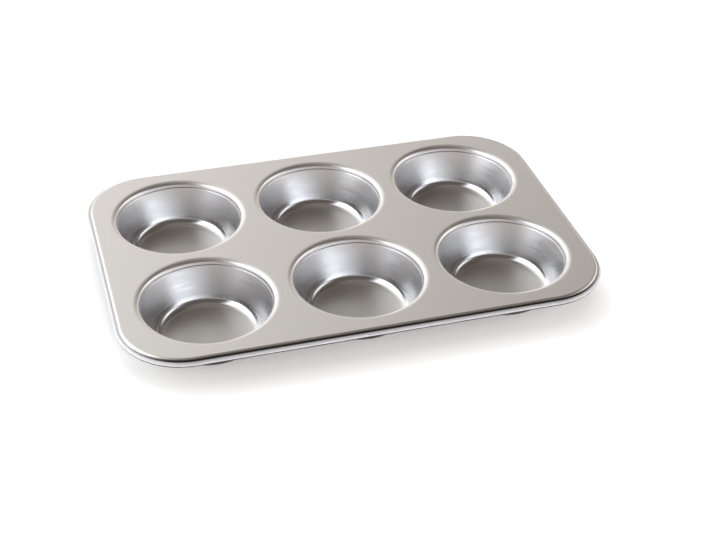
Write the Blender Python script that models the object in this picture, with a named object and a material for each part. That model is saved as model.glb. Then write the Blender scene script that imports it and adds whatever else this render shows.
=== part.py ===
"""Jumbo muffin pan: a pressed aluminium deck, six drawn cups locked into it by curled seams, and a wired rim.

Metres, +Z up. The origin is at the middle of the pan, on the plane that the cups' floors rest on. +X runs along
the row of three cups and -Y is the front. A section is a list of (radius or outward distance, height) points along
the side of the sheet that faces the food, and the sheet's thickness always lies behind it.
"""

import math

import bmesh
import bpy
from mathutils import Vector

# Sheet and wire
DECK_SHEET = 0.0007
CUP_SHEET = 0.0007
WIRE_DIAMETER = 0.0024

# Cups
COLUMNS = ("left", "middle", "right")
ROWS = ("front", "back")
CUP_DEPTH = 0.0323  # from the deck's top to the cup's floor, inside
WALL_DRAFT = math.radians(20)
FLOOR_ROUND = 0.008

# Mouths in the deck: an elliptical round between the flat and the wall
MOUTH_RADIUS = 0.0521
MOUTH_ROUND_WIDTH = 0.0045
MOUTH_ROUND_DEPTH = 0.003
WEB_X = 0.0078
WEB_Y = 0.0052

# Seam between deck and cup: the deck's flange lies flat inside the cup's hook
SEAM_COLLAR = 0.0006
SEAM_BEND = 0.0001
SEAM_FLANGE = 0.0018
SEAM_HOOK = 0.0012
SEAM_GAP = 0.0003

# Outer edge of the deck: the flat, a small round, a crease, and the bead rolled round the wire
END_MARGIN = 0.0113
SIDE_MARGIN = 0.0091
CORNER_RADIUS = 0.0439
EDGE_ROUND = 0.0021
CREASE_ROUND = 0.0005
BEAD_TOP_DROP = 0.0017
BEAD_SHIFT = 0.0003  # from the face of the edge's round out to the wire's centre
BEAD_END = math.radians(-195)
WIRE_GAP = 0.0003

# Facets
CUP_SIDES = 32
MOUTH_STEPS = 3
FLOOR_STEPS = 3
BEND_STEPS = 1
CORNER_STEPS = 8
EDGE_STEPS = 2
CREASE_STEPS = 1
BEAD_STEPS = 8
WIRE_BEVEL_RESOLUTION = 2
SMOOTH_BELOW = math.radians(40)

# What follows from them
DECK_TOP = CUP_DEPTH + CUP_SHEET
PITCH_X = 2 * MOUTH_RADIUS + WEB_X
PITCH_Y = 2 * MOUTH_RADIUS + WEB_Y
FLAT_HALF_X = PITCH_X * (len(COLUMNS) - 1) / 2 + MOUTH_RADIUS + END_MARGIN
FLAT_HALF_Y = PITCH_Y * (len(ROWS) - 1) / 2 + MOUTH_RADIUS + SIDE_MARGIN
FLAT_CORNER = min(CORNER_RADIUS, MOUTH_RADIUS + min(END_MARGIN, SIDE_MARGIN))
BEAD_RADIUS = WIRE_DIAMETER / 2 + WIRE_GAP + DECK_SHEET
BEAD_OUT = EDGE_ROUND + BEAD_SHIFT
BEAD_HEIGHT = DECK_TOP - BEAD_TOP_DROP - BEAD_RADIUS
WALL_DOWN = Vector((-math.sin(WALL_DRAFT), -math.cos(WALL_DRAFT)))
WALL_BACK = Vector((math.cos(WALL_DRAFT), -math.sin(WALL_DRAFT)))


def arc(centre, radius, start, end, steps):
    """Points along an arc, both ends included. radius is a number, or a pair for an ellipse."""
    across, up = radius if isinstance(radius, tuple) else (radius, radius)
    angles = [start + (end - start) * step / steps for step in range(steps + 1)]
    return [Vector((centre[0] + across * math.cos(a), centre[1] + up * math.sin(a))) for a in angles]


def mouth_round():
    """The deck's round into a cup, from the flat to where it is as steep as the wall."""
    centre = (MOUTH_RADIUS, DECK_TOP - MOUTH_ROUND_DEPTH)
    steepest = math.atan2(MOUTH_ROUND_WIDTH * math.cos(WALL_DRAFT), MOUTH_ROUND_DEPTH * math.sin(WALL_DRAFT))
    start = math.pi / 2
    return arc(centre, (MOUTH_ROUND_WIDTH, MOUTH_ROUND_DEPTH), start, start + steepest, MOUTH_STEPS)


def wall_radius(height):
    """Radius of the wall's inner face, which carries on in line from the mouth's round."""
    top = mouth_round()[-1]
    return top.x - (top.y - height) * math.tan(WALL_DRAFT)


def mouth_section():
    """The deck at a mouth: the round, a short collar, then a bend outwards into the flat flange of the seam."""
    points = mouth_round()
    points.append(points[-1] + WALL_DOWN * SEAM_COLLAR)
    bend = SEAM_BEND + DECK_SHEET
    centre = points[-1] + WALL_BACK * bend
    points += arc(centre, bend, math.pi - WALL_DRAFT, 1.5 * math.pi, BEND_STEPS)[1:]
    points.append(points[-1] + Vector((SEAM_FLANGE, 0)))
    return points


def cup_section():
    """A cup from the middle of its floor: floor, floor round, wall, and the hook round the deck's flange."""
    round_height = CUP_SHEET + FLOOR_ROUND
    foot = wall_radius(round_height - FLOOR_ROUND * math.sin(WALL_DRAFT))
    floor_centre = (foot - FLOOR_ROUND * math.cos(WALL_DRAFT), round_height)
    points = [Vector((0, CUP_SHEET))]
    points += arc(floor_centre, FLOOR_ROUND, -math.pi / 2, -WALL_DRAFT, FLOOR_STEPS)

    flange_end = mouth_section()[-1]
    bend = SEAM_BEND + CUP_SHEET
    bend_height = flange_end.y - SEAM_GAP - bend
    bend_radius = wall_radius(bend_height + bend * math.sin(WALL_DRAFT)) + bend * math.cos(WALL_DRAFT)
    points += arc((bend_radius, bend_height), bend, math.pi - WALL_DRAFT, math.pi / 2, BEND_STEPS)
    outside = flange_end.x + SEAM_GAP
    above = flange_end.y + DECK_SHEET + SEAM_GAP
    points += [Vector((outside, points[-1].y)), Vector((outside, above)), Vector((outside - SEAM_HOOK, above))]
    return points


def crossing(first, first_radius, second, second_radius):
    """The outer one of the two points where two circles cross."""
    apart = second - first
    along = (apart.length_squared + first_radius**2 - second_radius**2) / (2 * apart.length)
    aside = math.sqrt(first_radius**2 - along**2)
    unit = apart.normalized()
    return first + unit * along + Vector((-unit.y, unit.x)) * aside


def edge_section():
    """The deck's outer edge, as distance out from the flat: the round, the crease, and the bead round the wire."""
    edge_centre = Vector((0, DECK_TOP - EDGE_ROUND))
    bead_centre = Vector((BEAD_OUT, BEAD_HEIGHT))
    crease_centre = crossing(edge_centre, EDGE_ROUND + CREASE_ROUND, bead_centre, BEAD_RADIUS + CREASE_ROUND)
    to_crease = crease_centre - edge_centre
    round_end = math.atan2(to_crease.y, to_crease.x)
    from_bead = crease_centre - bead_centre
    bead_start = math.atan2(from_bead.y, from_bead.x)
    points = arc(edge_centre, EDGE_ROUND, math.pi / 2, round_end, EDGE_STEPS)
    points += arc(crease_centre, CREASE_ROUND, round_end + math.pi, bead_start + math.pi, CREASE_STEPS)[1:]
    points += arc(bead_centre, BEAD_RADIUS, bead_start, BEAD_END, BEAD_STEPS)[1:]
    return points


def pan_outline(outward):
    """Points round the pan, anticlockwise from above, at a distance outside the flat's rounded rectangle."""
    points = []
    radius = FLAT_CORNER + outward
    for quarter, (side_x, side_y) in enumerate(((1, 1), (-1, 1), (-1, -1), (1, -1))):
        centre = (side_x * (FLAT_HALF_X - FLAT_CORNER), side_y * (FLAT_HALF_Y - FLAT_CORNER))
        start = quarter * math.pi / 2
        points += arc(centre, radius, start, start + math.pi / 2, CORNER_STEPS)
    return points


def circle(centre, radius):
    """Points round a cup's axis, anticlockwise from above."""
    return arc(centre, radius, 0, 2 * math.pi, CUP_SIDES)[:-1]


def cup_places():
    """Each cup's name and the place of its axis."""
    for row, row_name in enumerate(ROWS):
        for column, column_name in enumerate(COLUMNS):
            x = (column - (len(COLUMNS) - 1) / 2) * PITCH_X
            y = (row - (len(ROWS) - 1) / 2) * PITCH_Y
            yield f"cup_{row_name}_{column_name}", (x, y)


def add_ring(mesh, points, height):
    """A closed loop of vertices at one height."""
    return [mesh.verts.new((x, y, height)) for x, y in points]


def skin(mesh, rings):
    """Quads from each ring of vertices to the next."""
    for inner, outer in zip(rings, rings[1:]):
        for i, vertex in enumerate(inner):
            mesh.faces.new((vertex, inner[i - 1], outer[i - 1], outer[i]))


def loop_edges(mesh, ring):
    """The edges round a ring, made where they are missing."""
    pairs = zip(ring, ring[1:] + ring[:1])
    return [mesh.edges.get(pair) or mesh.edges.new(pair) for pair in pairs]


def metal(name, colour, roughness):
    """A bare metal finish, from an sRGB hex colour."""
    channels = [int(colour[i : i + 2], 16) / 255 for i in (0, 2, 4)]
    linear = [c / 12.92 if c <= 0.04045 else ((c + 0.055) / 1.055) ** 2.4 for c in channels]
    material = bpy.data.materials.new(name)
    material.use_nodes = True
    shader = material.node_tree.nodes["Principled BSDF"]
    shader.inputs["Base Color"].default_value = (*linear, 1)
    shader.inputs["Metallic"].default_value = 1
    shader.inputs["Roughness"].default_value = roughness
    return material


def add_object(name, data, material, parent, place=(0, 0)):
    """An object in the scene that is carried by the pan's empty."""
    obj = bpy.data.objects.new(name, data)
    bpy.context.scene.collection.objects.link(obj)
    obj.parent = parent
    obj.location = (*place, 0)
    if material.name not in data.materials:
        data.materials.append(material)
    return obj


def thicken(obj, thickness):
    """Gives a surface its sheet, behind the side that faces the food."""
    solidify = obj.modifiers.new("Sheet", "SOLIDIFY")
    solidify.thickness = thickness
    solidify.offset = -1
    solidify.use_even_offset = True


def make_deck(parent):
    """The top sheet: a flat with six mouths, each with its seam flange, and the wired edge."""
    mesh = bmesh.new()
    edge = [add_ring(mesh, pan_outline(point.x), point.y) for point in edge_section()]
    skin(mesh, edge)
    borders = loop_edges(mesh, edge[0])
    for _, place in cup_places():
        mouth = [add_ring(mesh, circle(place, point.x), point.y) for point in mouth_section()]
        skin(mesh, mouth)
        borders += loop_edges(mesh, mouth[0])
    bmesh.ops.triangle_fill(mesh, use_beauty=True, edges=borders, normal=(0, 0, 1))
    bmesh.ops.recalc_face_normals(mesh, faces=mesh.faces)
    highest = max(mesh.faces, key=lambda face: face.calc_area())
    if highest.normal.z < 0:
        bmesh.ops.reverse_faces(mesh, faces=mesh.faces)
    data = bpy.data.meshes.new("pan_deck")
    mesh.to_mesh(data)
    mesh.free()
    data.shade_smooth()
    data.set_sharp_from_angle(angle=SMOOTH_BELOW)
    deck = add_object("pan_deck", data, metal("satin_aluminium", "C9C5C0", 0.38), parent)
    thicken(deck, DECK_SHEET)


def make_cups(parent):
    """Six drawn cups that share one section, turned about each cup's axis."""
    mesh = bmesh.new()
    vertices = [mesh.verts.new((point.x, 0, point.y)) for point in cup_section()]
    for lower, upper in zip(vertices, vertices[1:]):
        mesh.edges.new((lower, upper))
    data = bpy.data.meshes.new("cup_section")
    mesh.to_mesh(data)
    mesh.free()
    material = metal("drawn_aluminium", "D4D4D6", 0.25)
    for name, place in cup_places():
        cup = add_object(name, data, material, parent, place)
        screw = cup.modifiers.new("Turn", "SCREW")
        screw.steps = screw.render_steps = CUP_SIDES
        screw.use_merge_vertices = True
        screw.merge_threshold = 0.00001
        screw.use_smooth_shade = True
        thicken(cup, CUP_SHEET)


def make_wire(parent):
    """The rim's stiffening wire: a closed ring of round wire in the middle of the bead."""
    data = bpy.data.curves.new("rim_wire", "CURVE")
    data.dimensions = "3D"
    data.bevel_depth = WIRE_DIAMETER / 2
    data.bevel_resolution = WIRE_BEVEL_RESOLUTION
    points = pan_outline(BEAD_OUT)
    spline = data.splines.new("POLY")
    spline.points.add(len(points) - 1)
    for target, (x, y) in zip(spline.points, points):
        target.co = (x, y, BEAD_HEIGHT, 1)
    spline.use_cyclic_u = True
    add_object("rim_wire", data, metal("galvanised_steel", "B4B6B8", 0.45), parent)


def main():
    for obj in list(bpy.data.objects):
        bpy.data.objects.remove(obj, do_unlink=True)
    pan = bpy.data.objects.new("pan", None)
    bpy.context.scene.collection.objects.link(pan)
    make_deck(pan)
    make_cups(pan)
    make_wire(pan)


main()
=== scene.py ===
"""Jumbo muffin pan on a white sweep: a satin deck, six drawn cups locked under it, and a rim rolled round a wire.

Metres, +Z up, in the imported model's frame. A section is a list of (outward distance, height) points along the side of
the sheet that faces the food, and the sheet's thickness lies behind it.
"""

import math

import bmesh
import bpy
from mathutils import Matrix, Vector


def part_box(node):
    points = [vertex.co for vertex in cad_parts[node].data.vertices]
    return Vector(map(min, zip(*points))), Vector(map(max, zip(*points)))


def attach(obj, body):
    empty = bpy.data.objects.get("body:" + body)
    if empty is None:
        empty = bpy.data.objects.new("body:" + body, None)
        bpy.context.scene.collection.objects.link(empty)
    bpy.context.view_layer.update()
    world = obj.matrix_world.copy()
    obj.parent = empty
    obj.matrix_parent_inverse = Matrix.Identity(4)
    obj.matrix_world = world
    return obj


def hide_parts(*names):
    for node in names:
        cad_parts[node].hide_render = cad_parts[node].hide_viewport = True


bl_info = {
    "name": "Jumbo Muffin Pan",
    "version": (1, 0, 0),
    "blender": (4, 5, 0),
    "location": "3D View > Sidebar > Muffin Pan",
    "description": "Builds a jumbo muffin pan of drawn aluminium and the white studio that it stands in",
    "category": "Add Mesh",
}

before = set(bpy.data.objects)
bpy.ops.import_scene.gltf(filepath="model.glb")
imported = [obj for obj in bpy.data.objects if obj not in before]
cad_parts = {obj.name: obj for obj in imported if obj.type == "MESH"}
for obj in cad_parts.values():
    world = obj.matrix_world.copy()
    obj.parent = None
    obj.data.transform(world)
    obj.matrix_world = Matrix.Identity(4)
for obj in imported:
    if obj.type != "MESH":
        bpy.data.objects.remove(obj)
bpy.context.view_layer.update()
CUP_NAMES = [name for name in sorted(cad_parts) if name.startswith("cup_")]
DECK_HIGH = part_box("pan_deck")[1]

# Width of the strip of the flat that each section of the deck starts with.
FLAT_STRIP = 0.0004

# Steps along the parts of the sections, and round the wire.
MOUTH_STEPS = 18
EDGE_STEPS = 12
CREASE_STEPS = 6
BEAD_STEPS = 28
FLOOR_STEPS = 14
WALL_STEPS = 24
WIRE_SIDES = 16

# Where the bottom of the crease comes in the section of the deck's edge, after the strip and the edge's round.
CREASE_POINT = 1 + EDGE_STEPS + CREASE_STEPS // 2

# Vertices of a cup that lie this close are one.
MERGE_DISTANCE = 0.00001

# In degrees: folds sharper than the first are rounded, and edges sharper than the second aren't shaded smooth.
FOLD_ANGLE = 50
SHARP_ANGLE = 35

# Painted shade in the crease: at its least behind this Y, and full once it is the fade further to the front.
PAINTED_SHADE_BACK = -0.085
PAINTED_SHADE_FADE = 0.03
PAINTED_SHADE_LEAST = 0.2

# Height of a face's normal, from full painted underside shade to none.
UNDERSIDE_SHADE_FACING = (-0.2, 0.0)

# Depths under the deck's flat, from the burnished metal of the mouths and the edge to the satin of the flat.
BURNISHED_DEPTHS = (0.002, 0.0008)

# Heights in a cup, each from one finish to the next: the floor's roughness, its painted shade, and the polished round's
# top.
FLOOR_EDGE = (0.0009, 0.0014)
FLOOR_SHADE = (0.001, 0.003)
ROUND_TOP = (0.005, 0.009)

# The part of the marks' noise that takes the whole of their contrast.
MARKS_SPAN = (0.35, 0.65)

# How far the mottling takes the deck's roughness up and down, and the roughness of the wire's spangle and of paper.
MOTTLING = 0.03
WIRE_ROUGHNESS = (0.4, 0.55)
PAPER_ROUGHNESS = 0.9

# Degrees that the studio is turned by, so that azimuth starts at the dark front.
STUDIO_TURN = 30

# The camera's place in metres, its turn in degrees and its sensor in millimetres, as fitted to the photograph.
CAMERA_PLACE = (-0.23947, -0.82989, 0.62509)
CAMERA_TURN = (54.0755, -1.1310, -16.3185)
SENSOR_WIDTH = 36

# Metres from the pan's middle: to each edge of the sweep, and to the lamps.
SWEEP_SIZE = 4
LAMP_DISTANCE = 2.5

# Azimuth and elevation in degrees, diameter in metres, and watts. Azimuth 180 is the front.
PAPER_LAMPS = {
    "fill": (0, 90, 1.2, 17),
    "low_front": (180, 25, 0.8, 26),
    "high_front": (180, 68, 1.0, 8),
    "right_front": (150, 40, 0.8, 9),
    "left_front": (-150, 40, 0.8, 4),
    "high_left": (-60, 75, 1.2, 8),
}


def linear(colour):
    """Linear red, green and blue of an sRGB hex colour."""
    channels = [int(colour[i : i + 2], 16) / 255 for i in (0, 2, 4)]
    return [c / 12.92 if c <= 0.04045 else ((c + 0.055) / 1.055) ** 2.4 for c in channels]


def length(name, description, default):
    """A size that the sidebar shows in the scene's units."""
    return bpy.props.FloatProperty(
        name=name, description=description, default=default, min=0, precision=5, unit="LENGTH"
    )


def angle(name, description, degrees):
    """An angle that the sidebar shows in degrees."""
    return bpy.props.FloatProperty(name=name, description=description, default=math.radians(degrees), subtype="ANGLE")


def colour(name, description, default):
    """A colour that is given as sRGB hex."""
    return bpy.props.FloatVectorProperty(
        name=name, description=description, default=linear(default), min=0, max=1, subtype="COLOR"
    )


def amount(name, description, default, most=1.0):
    """A plain number from nought upwards."""
    return bpy.props.FloatProperty(name=name, description=description, default=default, min=0, max=most)


def count(name, description, default):
    """A whole number of facets."""
    return bpy.props.IntProperty(name=name, description=description, default=default, min=1)


class PanSizes(bpy.types.PropertyGroup):
    sheet: length("Sheet", "Thickness of the deck's and the cups' sheet", 0.0007)
    draft: angle("Wall draft", "How far a cup's wall leans out from upright", 20)
    mouth_radius: length("Mouth radius", "Where the deck's flat ends round a cup", 0.0521)
    mouth_width: length("Mouth round width", "Half width of the ellipse between the flat and the wall", 0.0045)
    mouth_depth: length("Mouth round depth", "Half height of that ellipse", 0.003)
    collar: length("Collar", "Straight stretch of the deck from the mouth's round to the seam", 0.00174)
    seam_flange: length("Seam flange", "Width of the deck's flange in the cup's hook", 0.00295)
    seam_hook: length("Seam hook", "How far the cup's hook reaches back over the flange", 0.0012)
    seam_gap: length("Seam gap", "Space kept between the sheets in the seam", 0.0003)
    fold_round: length("Fold round", "Width of the rounding on folds and cut edges", 0.00012)
    floor_round: length("Floor round", "Radius between a cup's floor and wall, inside", 0.008)
    corner_radius: length("Corner radius", "Radius of the flat at the pan's corners", 0.0439)
    edge_round: length("Edge round", "Radius where the flat turns down to the bead", 0.0021)
    crease_round: length("Crease round", "Radius of the crease above the bead", 0.0005)
    # The dark crease is painted shade, and this is how far it spreads along the sheet.
    crease_shade_spread: length("Crease dirt", "How far the dirt in the crease spreads along the sheet", 0.0013)
    bead_drop: length("Bead drop", "How far the bead's top lies below the flat", 0.0017)
    bead_shift: length("Bead shift", "From the edge's round out to the wire's centre", 0.0003)
    bead_end: angle("Bead end", "Where the rolled edge stops, round the wire", -195)
    wire_radius: length("Wire radius", "Radius of the wire in the bead", 0.0012)
    wire_gap: length("Wire gap", "Space kept between the wire and the bead", 0.0003)
    sides: count("Sides", "Facets round a cup", 144)
    corner_steps: count("Corner steps", "Facets round a corner of the pan", 28)


class PanFinishes(bpy.types.PropertyGroup):
    deck: colour("Deck", "Satin aluminium of the deck", "EEE9E3")
    deck_roughness: amount("Deck roughness", "Roughness of the satin deck", 0.33)
    bead_roughness: amount("Bead roughness", "Roughness of the rolled bead", 0.75)
    cup: colour("Cups", "Bright aluminium of the drawn cups", "E9EAED")
    # Painted shade: the cups' floors are coloured darker than their walls, for the shade at the bottom of each cup.
    shaded_cup_floor: colour("Cup floors", "Satin aluminium of the cups' floors", "D3CEC8")
    cup_roughness: amount("Cup roughness", "Mean roughness of the drawn cups", 0.32)
    cup_contrast: amount("Cup contrast", "How much rougher the dull marks are than the mean", 0.045)
    round_roughness: amount("Round roughness", "Roughness of the polished round between floor and wall", 0.15)
    # Painted shade: faces that point down, under the deck and outside the cups, are coloured dark brown for the shade
    # under the pan.
    underside_shade: colour("Underside", "Aluminium that the oven has browned, under the deck and outside the cups", "524B42")
    # Painted shade: the crease above the bead is coloured dark for the shade that falls in it.
    crease: colour("Crease", "Dirt in the crease above the bead", "3A3632")
    wire: colour("Wire", "Zinc on the steel wire", "BFC1C4")


class StudioSettings(bpy.types.PropertyGroup):
    window: colour("Window", "Colour of the broad light on the left", "F7FBFF")
    window_strength: amount("Window strength", "Brightness of the broad light on the left", 2.75, 10)
    board: colour("Board", "Colour of the bright board on the right", "FFFFFF")
    board_strength: amount("Board strength", "Brightness of the bright board on the right", 1.2, 10)
    table: colour("Table", "Colour of the pale table all round and of the ceiling", "FFF3E8")
    table_strength: amount("Table strength", "Brightness of the pale table all round", 0.62, 10)
    ceiling_strength: amount("Ceiling strength", "Brightness of the ceiling", 0.13, 10)
    sweep: colour("Sweep", "White paper under the pan", "F4F4F4")
    paper_light: amount("Paper light", "Share of the power of the lamps that light only the paper", 1, 10)
    lens: amount("Lens", "Focal length in millimetres", 69.39, 300)


def add(tree, kind, links=None, **settings):
    """Adds a node with its settings. links gives each input a value, a socket, or a list of sockets."""
    node = tree.nodes.new(kind)
    for name, value in settings.items():
        setattr(node, name, value)
    for name, value in (links or {}).items():
        for one in value if isinstance(value, list) else [value]:
            if isinstance(one, bpy.types.NodeSocket):
                tree.links.new(one, node.inputs[name])
            else:
                node.inputs[name].default_value = one
    return node


def arc(centre, radius, start, end, steps):
    """Points along an arc, both ends included. radius is a number, or a pair for an ellipse."""
    across, up = radius if isinstance(radius, tuple) else (radius, radius)
    angles = [start + (end - start) * step / steps for step in range(steps + 1)]
    return [Vector((centre[0] + across * math.cos(a), centre[1] + up * math.sin(a))) for a in angles]


def mouth_section(sizes):
    """The deck at a mouth: a strip of the flat, the round, the collar, and the flange of the seam."""
    centre = (sizes.mouth_radius, DECK_HIGH.z - sizes.mouth_depth)
    steepest = math.atan2(sizes.mouth_width * math.cos(sizes.draft), sizes.mouth_depth * math.sin(sizes.draft))
    ellipse = (sizes.mouth_width, sizes.mouth_depth)
    points = [Vector((sizes.mouth_radius + FLAT_STRIP, DECK_HIGH.z))]
    points += arc(centre, ellipse, math.pi / 2, math.pi / 2 + steepest, MOUTH_STEPS)
    end = points[-1]
    down = Vector((-math.sin(sizes.draft), -math.cos(sizes.draft))) * sizes.collar
    points += [end + down * share for share in (0.4, 0.8, 1)]
    points.append(points[-1] + Vector((sizes.seam_flange, 0)))
    return points


def crossing(first, first_radius, second, second_radius):
    """The outer one of the two points where two circles cross."""
    apart = second - first
    along = (apart.length_squared + first_radius**2 - second_radius**2) / (2 * apart.length)
    aside = math.sqrt(first_radius**2 - along**2)
    unit = apart.normalized()
    return first + unit * along + Vector((-unit.y, unit.x)) * aside


def bead_radius(sizes):
    """Outer radius of the bead, from the wire outwards."""
    return sizes.wire_radius + sizes.wire_gap + sizes.sheet


def bead_centre(sizes):
    """The wire's centre, as distance out from the flat and height."""
    return Vector((sizes.edge_round + sizes.bead_shift, DECK_HIGH.z - sizes.bead_drop - bead_radius(sizes)))


def edge_section(sizes):
    """The deck's outer edge: a strip of the flat, the round, the crease, and the bead round the wire."""
    edge_centre = Vector((0, DECK_HIGH.z - sizes.edge_round))
    bead, radius, crease = bead_centre(sizes), bead_radius(sizes), sizes.crease_round
    crease_centre = crossing(edge_centre, sizes.edge_round + crease, bead, radius + crease)
    to_crease = crease_centre - edge_centre
    from_bead = crease_centre - bead
    round_end = math.atan2(to_crease.y, to_crease.x)
    bead_start = math.atan2(from_bead.y, from_bead.x)
    points = [Vector((-FLAT_STRIP, DECK_HIGH.z))]
    points += arc(edge_centre, sizes.edge_round, math.pi / 2, round_end, EDGE_STEPS)
    points += arc(crease_centre, crease, round_end + math.pi, bead_start + math.pi, CREASE_STEPS)[1:]
    points += arc(bead, radius, bead_start, sizes.bead_end, BEAD_STEPS)[1:]
    return points


def flat_half_size(sizes):
    """Half the length and depth of the deck's flat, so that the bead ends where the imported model's does."""
    reach = bead_centre(sizes).x + bead_radius(sizes)
    return DECK_HIGH.x - reach, DECK_HIGH.y - reach


def pan_outline(sizes, outward):
    """Points round the pan, anticlockwise from above, at a distance outside the flat's edge."""
    half_x, half_y = flat_half_size(sizes)
    points = []
    for quarter, (side_x, side_y) in enumerate(((1, 1), (-1, 1), (-1, -1), (1, -1))):
        centre = (side_x * (half_x - sizes.corner_radius), side_y * (half_y - sizes.corner_radius))
        start = quarter * math.pi / 2
        points += arc(centre, sizes.corner_radius + outward, start, start + math.pi / 2, sizes.corner_steps)
    return points


def cup_place(name):
    """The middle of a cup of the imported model, seen from above."""
    low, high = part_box(name)
    return Vector(((low.x + high.x) / 2, (low.y + high.y) / 2, 0))


def add_ring(mesh, points, height):
    """A closed loop of vertices at one height."""
    return [mesh.verts.new((x, y, height)) for x, y in points]


def skin(mesh, rings):
    """Quads from each ring of vertices to the next."""
    for inner, outer in zip(rings, rings[1:]):
        for i, vertex in enumerate(inner):
            mesh.faces.new((vertex, inner[i - 1], outer[i - 1], outer[i]))


def ring_edges(mesh, ring):
    """The edges round a ring."""
    return [mesh.edges.get(pair) for pair in zip(ring, ring[1:] + ring[:1])]


def deck_surface(sizes):
    """The deck's upper surface as a mesh, from the bead's end in to the six flanges."""
    mesh = bmesh.new()
    dirt = mesh.verts.layers.float.new("dirt")
    bead = mesh.verts.layers.float.new("bead")
    section = edge_section(sizes)
    edge = [add_ring(mesh, pan_outline(sizes, point.x), point.y) for point in section]
    crease = section[CREASE_POINT]
    for index, (point, ring) in enumerate(zip(section, edge)):
        for vertex in ring:
            # Painted shade in the crease: most of it is along the front, and it thins out round the front corners.
            along_front = min(1, max(PAINTED_SHADE_LEAST, (PAINTED_SHADE_BACK - vertex.co.y) / PAINTED_SHADE_FADE))
            vertex[dirt] = along_front * min(1, max(0, 2 - 2 * (point - crease).length / sizes.crease_shade_spread))
            vertex[bead] = index > CREASE_POINT
    skin(mesh, edge)
    borders = ring_edges(mesh, edge[0])
    for name in CUP_NAMES:
        place = cup_place(name)
        rings = []
        for point in mouth_section(sizes):
            rings.append(add_ring(mesh, arc(place, point.x, 0, 2 * math.pi, sizes.sides)[:-1], point.y))
        skin(mesh, rings)
        borders += ring_edges(mesh, rings[0])
    bmesh.ops.triangle_fill(mesh, use_beauty=True, edges=borders, normal=(0, 0, 1))
    bmesh.ops.recalc_face_normals(mesh, faces=mesh.faces)
    if max(mesh.faces, key=lambda face: face.calc_area()).normal.z < 0:
        bmesh.ops.reverse_faces(mesh, faces=mesh.faces)
    data = bpy.data.meshes.new("deck")
    mesh.to_mesh(data)
    mesh.free()
    return data


def new_object(name, data):
    """An object at the origin of the scene."""
    obj = bpy.data.objects.new(name, data)
    bpy.context.scene.collection.objects.link(obj)
    return obj


def thicken(obj, sizes):
    """Gives a surface its sheet, behind the side that faces the food, and breaks its folds and cut edges."""
    solidify = obj.modifiers.new("Sheet", "SOLIDIFY")
    solidify.thickness = sizes.sheet
    solidify.offset = -1
    solidify.use_even_offset = True
    bevel = obj.modifiers.new("Folds", "BEVEL")
    bevel.width = sizes.fold_round
    bevel.segments = 2
    bevel.limit_method = "ANGLE"
    bevel.angle_limit = math.radians(FOLD_ANGLE)


def settle(obj, material):
    """Turns an object and its modifiers into one plain mesh, smooth but for its cut edges."""
    evaluated = obj.evaluated_get(bpy.context.evaluated_depsgraph_get())
    data = bpy.data.meshes.new_from_object(evaluated)
    obj.modifiers.clear()
    obj.data = data
    data.materials.clear()
    data.materials.append(material)
    data.shade_smooth()
    data.set_sharp_from_angle(angle=math.radians(SHARP_ANGLE))


def stand_in_for(obj, node):
    """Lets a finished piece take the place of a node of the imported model."""
    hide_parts(node)
    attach(obj, "root")


def set_inputs(modifier, values):
    """Sets a node modifier's inputs, which go by their sockets' identifiers."""
    for item in modifier.node_group.interface.items_tree:
        if item.item_type == "SOCKET" and item.in_out == "INPUT" and item.name in values:
            modifier[item.identifier] = values[item.name]


def new_tree(name, inputs):
    """An empty node group with the named inputs and one geometry output, and the sockets that give its inputs."""
    tree = bpy.data.node_groups.new(name, "GeometryNodeTree")
    for label, kind in inputs.items():
        tree.interface.new_socket(name=label, in_out="INPUT", socket_type="NodeSocket" + kind)
    tree.interface.new_socket(name="Geometry", in_out="OUTPUT", socket_type="NodeSocketGeometry")
    return tree, add(tree, "NodeGroupInput").outputs


def bend_tree():
    """Points along one bend of a section: an arc about a centre from one angle to another."""
    inputs = {"Centre": "Vector", "Radius": "Float", "Start": "Float", "End": "Float", "Steps": "Int"}
    tree, given = new_tree("Bend of a Section", inputs)
    index = add(tree, "GeometryNodeInputIndex").outputs[0]
    links = {0: index, 2: given["Steps"], 3: given["Start"], 4: given["End"]}
    turn = add(tree, "ShaderNodeMapRange", links).outputs[0]
    across = add(tree, "ShaderNodeMath", {0: turn}, operation="COSINE").outputs[0]
    up = add(tree, "ShaderNodeMath", {0: turn}, operation="SINE").outputs[0]
    spoke = add(tree, "ShaderNodeCombineXYZ", {"X": across, "Y": up}).outputs[0]
    links = {0: spoke, 1: given["Radius"], 2: given["Centre"]}
    place = add(tree, "ShaderNodeVectorMath", links, operation="MULTIPLY_ADD").outputs[0]
    total = add(tree, "ShaderNodeMath", {0: given["Steps"], 1: 1.0}, operation="ADD").outputs[0]
    points = add(tree, "GeometryNodePoints", {"Count": total, "Position": place}).outputs[0]
    add(tree, "NodeGroupOutput", {"Geometry": points})
    return tree


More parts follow.
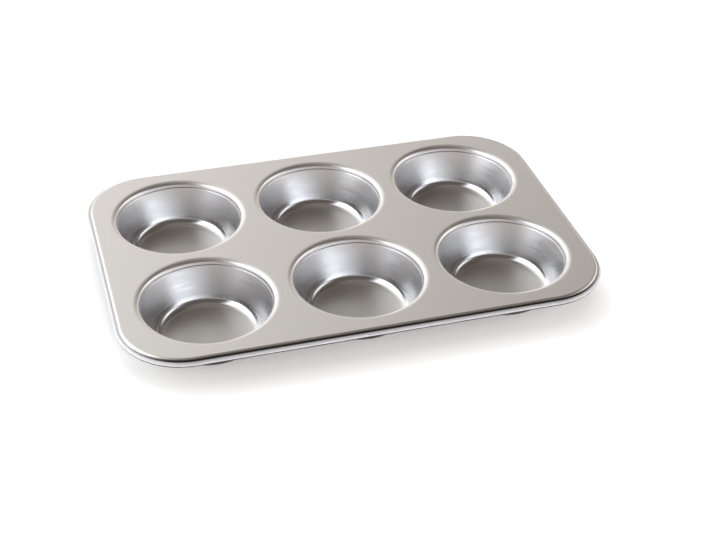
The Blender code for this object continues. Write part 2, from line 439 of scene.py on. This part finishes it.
def cup_tree():
    """A drawn cup: its section, from the middle of the floor to the hook's edge, swept round the cup's axis."""
    inputs = {
        "Place": "Vector",
        "Floor Height": "Float",
        "Floor Radius": "Float",
        "Floor Round": "Float",
        "Draft": "Float",
        "Seam Height": "Float",
        "Leg Radius": "Float",
        "Hook Height": "Float",
        "Hook": "Float",
        "Sides": "Int",
        "Material": "Material",
    }
    tree, given = new_tree("Drawn Cup", inputs)
    bend = bend_tree()

    # The wall leaves the floor's round at the foot, and leans out until it turns outwards at the seam.
    sine = add(tree, "ShaderNodeMath", {0: given["Draft"]}, operation="SINE").outputs[0]
    cosine = add(tree, "ShaderNodeMath", {0: given["Draft"]}, operation="COSINE").outputs[0]
    tangent = add(tree, "ShaderNodeMath", {0: given["Draft"]}, operation="TANGENT").outputs[0]
    links = {0: given["Floor Round"], 1: cosine, 2: given["Floor Radius"]}
    foot = add(tree, "ShaderNodeMath", links, operation="MULTIPLY_ADD").outputs[0]
    centre_height = add(tree, "ShaderNodeMath", {0: given["Floor Height"], 1: given["Floor Round"]}).outputs[0]
    drop = add(tree, "ShaderNodeMath", {0: given["Floor Round"], 1: sine}, operation="MULTIPLY").outputs[0]
    foot_height = add(tree, "ShaderNodeMath", {0: centre_height, 1: drop}, operation="SUBTRACT").outputs[0]
    rise = add(tree, "ShaderNodeMath", {0: given["Seam Height"], 1: foot_height}, operation="SUBTRACT").outputs[0]
    top_radius = add(tree, "ShaderNodeMath", {0: rise, 1: tangent, 2: foot}, operation="MULTIPLY_ADD").outputs[0]
    hook_end = add(tree, "ShaderNodeMath", {0: given["Leg Radius"], 1: given["Hook"]}, operation="SUBTRACT").outputs[0]
    wall_turn = add(tree, "ShaderNodeMath", {0: given["Draft"], 1: -1.0}, operation="MULTIPLY").outputs[0]

    middle = add(tree, "ShaderNodeCombineXYZ", {"Y": given["Floor Height"]}).outputs[0]
    floor_centre = add(tree, "ShaderNodeCombineXYZ", {"X": given["Floor Radius"], "Y": centre_height}).outputs[0]
    wall_top = add(tree, "ShaderNodeCombineXYZ", {"X": top_radius, "Y": given["Seam Height"]}).outputs[0]
    leg_foot = add(tree, "ShaderNodeCombineXYZ", {"X": given["Leg Radius"], "Y": given["Seam Height"]}).outputs[0]
    leg_top = add(tree, "ShaderNodeCombineXYZ", {"X": given["Leg Radius"], "Y": given["Hook Height"]}).outputs[0]
    hook_tip = add(tree, "ShaderNodeCombineXYZ", {"X": hook_end, "Y": given["Hook Height"]}).outputs[0]
    runs = [add(tree, "GeometryNodePoints", {"Count": 1, "Position": middle}).outputs[0]]
    links = {
        "Centre": floor_centre,
        "Radius": given["Floor Round"],
        "Start": -math.pi / 2,
        "End": wall_turn,
        "Steps": FLOOR_STEPS,
    }
    runs.append(add(tree, "GeometryNodeGroup", links, node_tree=bend).outputs[0])
    # The round ends with the wall's foot, so the wall's own points start one step above it.
    index = add(tree, "GeometryNodeInputIndex").outputs[0]
    share = add(tree, "ShaderNodeMapRange", {0: index, 1: -1.0, 2: WALL_STEPS - 1.0}).outputs[0]
    wall_foot = add(tree, "ShaderNodeCombineXYZ", {"X": foot, "Y": foot_height}).outputs[0]
    links = {"Factor": share, 4: wall_foot, 5: wall_top}
    place = add(tree, "ShaderNodeMix", links, data_type="VECTOR").outputs[1]
    runs.append(add(tree, "GeometryNodePoints", {"Count": WALL_STEPS, "Position": place}).outputs[0])
    for corner in (leg_foot, leg_top, hook_tip):
        runs.append(add(tree, "GeometryNodePoints", {"Count": 1, "Position": corner}).outputs[0])

    # Joined points come out last link first, so the runs are linked from the hook's tip back to the middle.
    points = add(tree, "GeometryNodeJoinGeometry", {"Geometry": runs[::-1]}).outputs[0]
    section = add(tree, "GeometryNodePointsToCurves", {"Points": points}).outputs[0]

    # A sweep lays a section's X outwards from the path and its Y downwards, so the section is turned over first.
    inwards = add(tree, "ShaderNodeMath", {0: given["Leg Radius"], 1: -1.0}, operation="MULTIPLY").outputs[0]
    shift = add(tree, "ShaderNodeCombineXYZ", {"X": inwards}).outputs[0]
    links = {"Geometry": section, "Translation": shift, "Rotation": (math.pi, 0, 0)}
    section = add(tree, "GeometryNodeTransform", links).outputs[0]
    links = {"Resolution": given["Sides"], "Radius": given["Leg Radius"]}
    path = add(tree, "GeometryNodeCurvePrimitiveCircle", links, mode="RADIUS").outputs[0]
    surface = add(tree, "GeometryNodeCurveToMesh", {"Curve": path, "Profile Curve": section}).outputs[0]
    links = {"Geometry": surface, "Distance": MERGE_DISTANCE}
    surface = add(tree, "GeometryNodeMergeByDistance", links).outputs[0]
    surface = add(tree, "GeometryNodeTransform", {"Geometry": surface, "Translation": given["Place"]}).outputs[0]
    real = add(tree, "GeometryNodeRealizeInstances", {"Geometry": surface}).outputs[0]
    links = {"Geometry": real, "Material": given["Material"]}
    add(tree, "NodeGroupOutput", {"Geometry": add(tree, "GeometryNodeSetMaterial", links).outputs[0]})
    return tree


def wire_tree():
    """The rim's wire: a round section swept round a rectangle with round corners."""
    inputs = {
        "Length": "Float",
        "Depth": "Float",
        "Height": "Float",
        "Corner Radius": "Float",
        "Corner Steps": "Int",
        "Wire Radius": "Float",
        "Material": "Material",
    }
    tree, given = new_tree("Rim Wire", inputs)
    links = {0: given["Length"], 1: given["Depth"]}
    path = add(tree, "GeometryNodeCurvePrimitiveQuadrilateral", links, mode="RECTANGLE").outputs[0]
    links = {"Curve": path, "Radius": given["Corner Radius"], "Count": given["Corner Steps"]}
    path = add(tree, "GeometryNodeFilletCurve", links, mode="POLY").outputs[0]
    lift = add(tree, "ShaderNodeCombineXYZ", {"Z": given["Height"]}).outputs[0]
    path = add(tree, "GeometryNodeTransform", {"Geometry": path, "Translation": lift}).outputs[0]
    links = {"Resolution": WIRE_SIDES, "Radius": given["Wire Radius"]}
    section = add(tree, "GeometryNodeCurvePrimitiveCircle", links, mode="RADIUS").outputs[0]
    wire = add(tree, "GeometryNodeCurveToMesh", {"Curve": path, "Profile Curve": section}).outputs[0]
    real = add(tree, "GeometryNodeRealizeInstances", {"Geometry": wire}).outputs[0]
    links = {"Geometry": real, "Material": given["Material"]}
    add(tree, "NodeGroupOutput", {"Geometry": add(tree, "GeometryNodeSetMaterial", links).outputs[0]})
    return tree


def new_material(name):
    """A material with only its Principled shader, its node tree, and that shader."""
    material = bpy.data.materials.new(name)
    material.use_nodes = True
    return material, material.node_tree, material.node_tree.nodes["Principled BSDF"]


def sheet_colour(tree, coordinates, low, high, lower, upper, underside_shade):
    """Colour of a sheet: from lower to upper between two heights, and darkened with painted shade where it faces down.
    """
    height = add(tree, "ShaderNodeSeparateXYZ", {0: coordinates["Object"]}).outputs["Z"]
    share = add(tree, "ShaderNodeMapRange", {0: height, 1: low, 2: high}, interpolation_type="SMOOTHSTEP").outputs[0]
    top = add(tree, "ShaderNodeMix", {0: share, 6: (*lower, 1), 7: (*upper, 1)}, data_type="RGBA").outputs[2]
    facing = add(tree, "ShaderNodeSeparateXYZ", {0: coordinates["Normal"]}).outputs["Z"]
    links = {0: facing, 1: UNDERSIDE_SHADE_FACING[0], 2: UNDERSIDE_SHADE_FACING[1]}
    share = add(tree, "ShaderNodeMapRange", links, interpolation_type="SMOOTHSTEP").outputs[0]
    return add(tree, "ShaderNodeMix", {0: share, 6: (*underside_shade, 1), 7: top}, data_type="RGBA").outputs[2]


def satin_aluminium(finishes):
    """Pressed aluminium sheet with a fine satin: soft, even reflections that barely show what is round them."""
    material, tree, shader = new_material("satin_aluminium_sheet")
    coordinates = add(tree, "ShaderNodeTexCoord").outputs
    place = coordinates["Object"]
    # The tools burnish the sheet where it turns down into the mouths and over the edge.
    low, high = [DECK_HIGH.z - depth for depth in BURNISHED_DEPTHS]
    # Faces that point down get the painted underside shade.
    tint = sheet_colour(tree, coordinates, low, high, finishes.cup, finishes.deck, finishes.underside_shade)
    # Painted shade: the sheet is mixed towards the crease colour in the crease above the bead.
    dirt = add(tree, "ShaderNodeAttribute", attribute_name="dirt").outputs["Fac"]
    tint = add(tree, "ShaderNodeMix", {0: dirt, 6: tint, 7: (*finishes.crease, 1)}, data_type="RGBA").outputs[2]
    tree.links.new(tint, shader.inputs["Base Color"])
    # Mottling of about 12 mm, as rolled sheet has.
    mottle = add(tree, "ShaderNodeTexNoise", {"Vector": place, "Scale": 80.0, "Detail": 3.0}).outputs["Fac"]
    links = {0: mottle, 3: finishes.deck_roughness - MOTTLING, 4: finishes.deck_roughness + MOTTLING}
    roughness = add(tree, "ShaderNodeMapRange", links).outputs[0]
    # Rolling leaves the bead matt, so that it takes its light from all round.
    bead = add(tree, "ShaderNodeAttribute", attribute_name="bead").outputs["Fac"]
    links = {0: bead, 3: roughness, 4: finishes.bead_roughness}
    tree.links.new(add(tree, "ShaderNodeMapRange", links).outputs[0], shader.inputs["Roughness"])
    # Grain of about 0.5 mm, coarser than the real blasting so that it shows.
    grain = add(tree, "ShaderNodeTexNoise", {"Vector": place, "Scale": 2000.0, "Detail": 2.0}).outputs["Fac"]
    bump = add(tree, "ShaderNodeBump", {"Height": grain, "Strength": 0.06, "Distance": 0.0002}).outputs[0]
    tree.links.new(bump, shader.inputs["Normal"])
    shader.inputs["Metallic"].default_value = 1
    return material


def drawn_aluminium(finishes):
    """Aluminium drawn over a punch: brighter than the deck, with fine polished and dull marks round the wall."""
    material, tree, shader = new_material("drawn_aluminium")
    coordinates = add(tree, "ShaderNodeTexCoord").outputs
    place = coordinates["Object"]
    # The floor isn't stretched; its darker colour is painted shade at the bottom of the cup, and faces that point down
    # get painted underside shade.
    tint = sheet_colour(tree, coordinates, *FLOOR_SHADE, finishes.shaded_cup_floor, finishes.cup, finishes.underside_shade)
    tree.links.new(tint, shader.inputs["Base Color"])
    # Draw marks about 1 mm apart in height and 20 mm long round the wall.
    stretch = add(tree, "ShaderNodeMapping", {"Vector": place, "Scale": (50.0, 50.0, 1000.0)}).outputs[0]
    marks = add(tree, "ShaderNodeTexNoise", {"Vector": stretch, "Scale": 1.0, "Detail": 3.0}).outputs["Fac"]
    bright, dull = finishes.cup_roughness - finishes.cup_contrast, finishes.cup_roughness + finishes.cup_contrast
    links = {0: marks, 1: MARKS_SPAN[0], 2: MARKS_SPAN[1], 3: bright, 4: dull}
    roughness = add(tree, "ShaderNodeMapRange", links).outputs[0]
    # The punch's nose polishes the round between floor and wall.
    height = add(tree, "ShaderNodeSeparateXYZ", {0: place}).outputs["Z"]
    links = {0: height, 1: ROUND_TOP[0], 2: ROUND_TOP[1], 3: finishes.round_roughness, 4: roughness}
    above_floor = add(tree, "ShaderNodeMapRange", links, interpolation_type="SMOOTHSTEP").outputs[0]
    links = {0: height, 1: FLOOR_EDGE[0], 2: FLOOR_EDGE[1], 3: roughness, 4: above_floor}
    level = add(tree, "ShaderNodeMapRange", links, interpolation_type="SMOOTHSTEP").outputs[0]
    tree.links.new(level, shader.inputs["Roughness"])
    bump = add(tree, "ShaderNodeBump", {"Height": marks, "Strength": 0.05, "Distance": 0.0002}).outputs[0]
    tree.links.new(bump, shader.inputs["Normal"])
    shader.inputs["Metallic"].default_value = 1
    return material


def galvanised_steel(finishes):
    """Zinc-coated steel wire: dull grey, with a faint spangle."""
    material, tree, shader = new_material("galvanised_steel_wire")
    place = add(tree, "ShaderNodeTexCoord").outputs["Object"]
    spangle = add(tree, "ShaderNodeTexVoronoi", {"Vector": place, "Scale": 500.0}).outputs["Color"]
    links = {0: spangle, 3: WIRE_ROUGHNESS[0], 4: WIRE_ROUGHNESS[1]}
    tree.links.new(add(tree, "ShaderNodeMapRange", links).outputs[0], shader.inputs["Roughness"])
    shader.inputs["Base Color"].default_value = (*finishes.wire, 1)
    shader.inputs["Metallic"].default_value = 1
    return material


def white_sweep(studio):
    """Seamless white paper: matt, with a slight tooth."""
    material, tree, shader = new_material("white_paper")
    place = add(tree, "ShaderNodeTexCoord").outputs["Object"]
    # Tooth of about 1 mm, coarser than real paper's.
    tooth = add(tree, "ShaderNodeTexNoise", {"Vector": place, "Scale": 900.0, "Detail": 2.0}).outputs["Fac"]
    bump = add(tree, "ShaderNodeBump", {"Height": tooth, "Strength": 0.05, "Distance": 0.0002}).outputs[0]
    tree.links.new(bump, shader.inputs["Normal"])
    shader.inputs["Base Color"].default_value = (*studio.sweep, 1)
    shader.inputs["Roughness"].default_value = PAPER_ROUGHNESS
    return material


def studio_world(studio):
    """Surroundings of a small studio: a broad window on the left, a bright board on the right, a pale table all round.

    The front, where the photographer stands, is dark above the table, and the ceiling is dim.
    """
    world = bpy.data.worlds.new("studio")
    world.use_nodes = True
    tree = world.node_tree
    direction = add(tree, "ShaderNodeTexCoord").outputs["Generated"]
    # Azimuth grows to the right, and starts and ends at the dark front. Both angles are in radians.
    links = {"Vector": direction, "Rotation": (0, 0, math.radians(STUDIO_TURN))}
    turned = add(tree, "ShaderNodeMapping", links, vector_type="VECTOR").outputs[0]
    parts = add(tree, "ShaderNodeSeparateXYZ", {0: turned}).outputs
    azimuth = add(tree, "ShaderNodeMath", {0: parts["X"], 1: parts["Y"]}, operation="ARCTAN2").outputs[0]
    elevation = add(tree, "ShaderNodeMath", {0: parts["Z"]}, operation="ARCSINE").outputs[0]

    # Each light is its strength times smooth ramps: an angle, from and to in degrees, and the light's shares there.
    window = (
        (azimuth, -160, -130, 0, 1),
        (azimuth, -160, 41, 1, 0),
        (elevation, 0, 23, 0.1, 1),
        (elevation, 43, 77, 1, 0),
    )
    board = ((azimuth, 22, 60, 0, 1), (azimuth, 75, 115, 1, 0), (elevation, 28, 41, 1, 0))
    table = ((elevation, 18, 30, 1, 0.19),)
    ceiling = ((elevation, 60, 80, 0, 1),)
    light = None
    for tint, strength, ramps in (
        (studio.window, studio.window_strength, window),
        (studio.board, studio.board_strength, board),
        (studio.table, studio.table_strength, table),
        (studio.table, studio.ceiling_strength, ceiling),
    ):
        level = strength
        for value, low, high, start, end in ramps:
            links = {0: value, 1: math.radians(low), 2: math.radians(high), 3: start, 4: end}
            ramp = add(tree, "ShaderNodeMapRange", links, interpolation_type="SMOOTHSTEP").outputs[0]
            level = add(tree, "ShaderNodeMath", {0: level, 1: ramp}, operation="MULTIPLY").outputs[0]
        glow = add(tree, "ShaderNodeBackground", {"Color": (*tint, 1), "Strength": level}).outputs[0]
        light = add(tree, "ShaderNodeAddShader", {0: light, 1: glow}).outputs[0] if light else glow
    tree.links.new(light, tree.nodes["World Output"].inputs["Surface"])
    bpy.context.scene.world = world


def paper_lamp(name, sweep, azimuth, elevation, size, watts):
    """A soft round lamp that lights only the sweep."""
    lamp = bpy.data.lights.new(name, "AREA")
    lamp.shape = "DISK"
    lamp.size = size
    lamp.energy = watts
    obj = new_object(name, lamp)
    side, height = math.radians(azimuth), math.radians(elevation)
    direction = Vector((math.sin(side) * math.cos(height), math.cos(side) * math.cos(height), math.sin(height)))
    obj.location = direction * LAMP_DISTANCE
    obj.rotation_euler = obj.location.to_track_quat("Z", "Y").to_euler()
    lit = bpy.data.collections.new(name + "_lights")
    lit.objects.link(sweep)
    obj.light_linking.receiver_collection = lit
    return obj


class MakeDeck(bpy.types.Operator):
    """Makes the pressed deck: the flat with its six mouths, seam flanges and wired edge"""

    bl_idname = "muffin_pan.make_deck"
    bl_label = "Make Deck"

    def execute(self, context):
        sizes = context.scene.pan_sizes
        deck = new_object("deck", deck_surface(sizes))
        thicken(deck, sizes)
        settle(deck, satin_aluminium(context.scene.pan_finishes))
        stand_in_for(deck, "pan_deck")
        return {"FINISHED"}


class MakeCups(bpy.types.Operator):
    """Makes the drawn cups, each hooked round its mouth's flange"""

    bl_idname = "muffin_pan.make_cups"
    bl_label = "Make Cups"

    def execute(self, context):
        sizes = context.scene.pan_sizes
        material = drawn_aluminium(context.scene.pan_finishes)
        tree = cup_tree()
        fold, flange_end = mouth_section(sizes)[-2:]
        foot_height = sizes.sheet + sizes.floor_round * (1 - math.sin(sizes.draft))
        foot = fold.x - (fold.y - foot_height) * math.tan(sizes.draft)
        values = {
            "Floor Height": sizes.sheet,
            "Floor Radius": foot - sizes.floor_round * math.cos(sizes.draft),
            "Floor Round": sizes.floor_round,
            "Draft": sizes.draft,
            "Seam Height": flange_end.y - sizes.seam_gap,
            "Leg Radius": flange_end.x + sizes.seam_gap,
            "Hook Height": flange_end.y + sizes.sheet + sizes.seam_gap,
            "Hook": sizes.seam_hook,
            "Sides": sizes.sides,
            "Material": material,
        }
        for name in CUP_NAMES:
            cup = new_object(name + "_drawn", bpy.data.meshes.new(name))
            modifier = cup.modifiers.new("Cup", "NODES")
            modifier.node_group = tree
            set_inputs(modifier, {**values, "Place": cup_place(name)})
            thicken(cup, sizes)
            settle(cup, material)
            stand_in_for(cup, name)
        return {"FINISHED"}


class MakeRimWire(bpy.types.Operator):
    """Makes the steel wire that the deck's edge is rolled round"""

    bl_idname = "muffin_pan.make_rim_wire"
    bl_label = "Make Rim Wire"

    def execute(self, context):
        sizes = context.scene.pan_sizes
        material = galvanised_steel(context.scene.pan_finishes)
        half_x, half_y = flat_half_size(sizes)
        centre = bead_centre(sizes)
        wire = new_object("wire", bpy.data.meshes.new("wire"))
        modifier = wire.modifiers.new("Wire", "NODES")
        modifier.node_group = wire_tree()
        values = {
            "Length": 2 * (half_x + centre.x),
            "Depth": 2 * (half_y + centre.x),
            "Height": centre.y,
            "Corner Radius": sizes.corner_radius + centre.x,
            "Corner Steps": sizes.corner_steps,
            "Wire Radius": sizes.wire_radius,
            "Material": material,
        }
        set_inputs(modifier, values)
        settle(wire, material)
        stand_in_for(wire, "rim_wire")
        return {"FINISHED"}


class MakeStudio(bpy.types.Operator):
    """Makes the white sweep, the soft light and the camera"""

    bl_idname = "muffin_pan.make_studio"
    bl_label = "Make Studio"

    def execute(self, context):
        scene = context.scene
        studio = scene.studio_settings
        mesh = bmesh.new()
        bmesh.ops.create_grid(mesh, x_segments=1, y_segments=1, size=SWEEP_SIZE)
        data = bpy.data.meshes.new("sweep")
        mesh.to_mesh(data)
        mesh.free()
        data.materials.append(white_sweep(studio))
        sweep = new_object("sweep", data)
        studio_world(studio)
        for name, (azimuth, elevation, size, watts) in PAPER_LAMPS.items():
            lamp = paper_lamp(name + "_paper_lamp", sweep, azimuth, elevation, size, watts * studio.paper_light)
            if name == "fill":
                # The fill reaches the paper under the pan too, and so softens every shadow.
                lamp.light_linking.blocker_collection = lamp.light_linking.receiver_collection

        camera = bpy.data.cameras.new("camera")
        camera.lens = studio.lens
        camera.sensor_width = SENSOR_WIDTH
        eye = new_object("camera", camera)
        eye.location = CAMERA_PLACE
        eye.rotation_euler = [math.radians(turn) for turn in CAMERA_TURN]
        scene.camera = eye
        scene.view_settings.view_transform = "Standard"
        return {"FINISHED"}


class MuffinPanPanel(bpy.types.Panel):
    bl_idname = "VIEW3D_PT_muffin_pan"
    bl_label = "Jumbo Muffin Pan"
    bl_space_type = "VIEW_3D"
    bl_region_type = "UI"
    bl_category = "Muffin Pan"

    def draw(self, context):
        scene = context.scene
        for settings in (scene.pan_sizes, scene.pan_finishes, scene.studio_settings):
            box = self.layout.box()
            for name in settings.__annotations__:
                box.prop(settings, name)
        for operator in OPERATORS:
            self.layout.operator(operator.bl_idname)


OPERATORS = (MakeDeck, MakeCups, MakeRimWire, MakeStudio)
SETTINGS = {"pan_sizes": PanSizes, "pan_finishes": PanFinishes, "studio_settings": StudioSettings}


def register():
    for cls in (*SETTINGS.values(), *OPERATORS, MuffinPanPanel):
        bpy.utils.register_class(cls)
    for name, cls in SETTINGS.items():
        setattr(bpy.types.Scene, name, bpy.props.PointerProperty(type=cls))


def unregister():
    for name in SETTINGS:
        delattr(bpy.types.Scene, name)
    for cls in (MuffinPanPanel, *reversed(OPERATORS), *reversed(SETTINGS.values())):
        bpy.utils.unregister_class(cls)


def main():
    register()
    bpy.ops.muffin_pan.make_deck()
    bpy.ops.muffin_pan.make_cups()
    bpy.ops.muffin_pan.make_rim_wire()
    bpy.ops.muffin_pan.make_studio()


if __name__ == "__main__":
    main()
